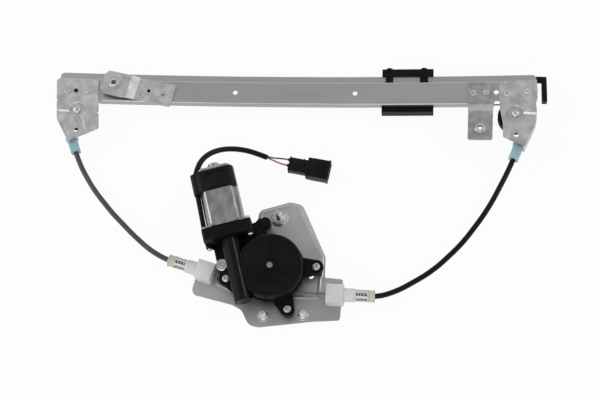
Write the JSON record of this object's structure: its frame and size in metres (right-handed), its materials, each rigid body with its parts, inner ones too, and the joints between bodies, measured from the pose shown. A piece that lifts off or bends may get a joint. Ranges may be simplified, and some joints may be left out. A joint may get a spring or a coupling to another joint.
{
  "type": "window regulator",
  "caption": "Cable window regulator: bowed guide rail with sliding carrier, pulleys, conduits and a worm-geared motor driving the cable drum.",
  "frame": {"origin": "middle of the whole object's outline, on the surface it lies on", "axes": "+X along the guide rail, +Y from the motor to the rail, +Z away from the surface it lies on"},
  "size_m": [0.4994, 0.2716, 0.043],
  "materials": {
    "galvanised_rail": "zinc plated sheet",
    "zinc_steel": "bright zinc",
    "plate_paint": "grey coated sheet",
    "spring_steel": "drawn wire",
    "machined_steel": "ground",
    "cable_wire": "stranded, greased",
    "black_moulding": "black, fine grain",
    "black_rubber": "soft",
    "white_nylon": "translucent white",
    "cream_moulding": "cream",
    "blue_moulding": "light blue",
    "conduit_grey": "ribbed, dark grey",
    "acetal": "natural",
    "can_zinc": "plated, drawn",
    "brass": "turned",
    "copper": "copper",
    "magnet": "sintered",
    "carbon": "carbon",
    "wire_blue": "dark blue",
    "wire_pink": "purple pink",
    "core_steel": "laminated"
  },
  "bodies": {
    "base": {"guide_rail": "galvanised_rail", "left_pulley_bracket": "galvanised_rail", "right_pulley_bracket": "galvanised_rail", "left_pulley_pin": "zinc_steel", "right_pulley_pin": "zinc_steel", "left_mount_bracket": "galvanised_rail", "right_mount_bracket": "galvanised_rail", "mount_nuts": "zinc_steel", "rail_rivets": "zinc_steel", "end_bumper": "black_moulding", "left_conduit_fitting": "blue_moulding", "right_conduit_fitting": "blue_moulding", "left_conduit": "conduit_grey", "right_conduit": "conduit_grey", "left_cable": "cable_wire", "right_cable": "cable_wire", "left_adjuster_block": "white_nylon", "left_adjuster_sleeve": "white_nylon", "left_adjuster_spring": "spring_steel", "left_adjuster_collar": "cream_moulding", "right_adjuster_block": "white_nylon", "right_adjuster_sleeve": "white_nylon", "right_adjuster_spring": "spring_steel", "right_adjuster_collar": "cream_moulding", "base_plate": "plate_paint", "mounting_studs": "zinc_steel", "drum_housing": "black_moulding", "gear_housing": "black_moulding", "gear_case_lid": "black_moulding", "lid_seal": "black_rubber", "axle_pin": "machined_steel", "housing_screws": "zinc_steel", "locating_rivet": "zinc_steel", "motor_can": "can_zinc", "can_screws": "zinc_steel", "field_magnets": "magnet", "armature_bushes": "brass", "brush_holder": "black_moulding", "brushes": "carbon", "lead_cover": "black_rubber", "motor_lead": "black_rubber", "harness_sleeve": "black_rubber", "supply_wire": "wire_blue", "ground_wire": "wire_pink", "plug_housing": "black_moulding", "plug_terminals": "brass"},
    "armature": {"armature_shaft": "machined_steel", "armature_core": "core_steel", "armature_windings": "copper", "commutator": "copper"},
    "drum": {"cable_drum": "acetal", "cable_wraps": "cable_wire", "worm_wheel": "acetal", "damper": "black_rubber", "drive_hub": "machined_steel"},
    "left_pulley": {"left_pulley": "black_moulding"},
    "right_pulley": {"right_pulley": "black_moulding"},
    "carrier": {"slider_carrier": "black_moulding", "cable_nipples": "zinc_steel", "glass_inserts": "brass"}
  },
  "joints": [
    {"name": "carrier_travel", "type": "hinge", "parent": "base", "child": "carrier", "pos_m": [-0.0445, 0.106, 3.9152], "axis": [0, -1, 0], "range_deg": [-4.22, 0.87]},
    {"name": "armature_spin", "type": "hinge", "parent": "base", "child": "armature", "pos_m": [-0.04526, -0.09182, 0.0275], "axis": [-0.2756, 0.9613, 0], "range_deg": [-10405.2, 50355.6]},
    {"name": "drum_spin", "type": "hinge", "parent": "base", "child": "drum", "pos_m": [-0.0145, -0.083, 0.01], "axis": [0, 0, 1], "range_deg": [-173.1, 828]},
    {"name": "left_pulley_spin", "type": "hinge", "parent": "base", "child": "left_pulley", "pos_m": [-0.22546, 0.0822, 0.00939], "axis": [0.0463, 0, 0.9989], "range_deg": [-237.6, 1140.9]},
    {"name": "right_pulley_spin", "type": "hinge", "parent": "base", "child": "right_pulley", "pos_m": [0.22018, 0.0822, 0.01417], "axis": [-0.0677, 0, 0.9977], "range_deg": [-237.6, 1140.9]}
  ],
  "couplings": [
    {"joint": "armature_spin", "follows": "carrier_travel", "ratio": -11926},
    {"joint": "drum_spin", "follows": "carrier_travel", "ratio": -195.5},
    {"joint": "left_pulley_spin", "follows": "carrier_travel", "ratio": -269.66},
    {"joint": "right_pulley_spin", "follows": "carrier_travel", "ratio": -269.66}
  ]
}
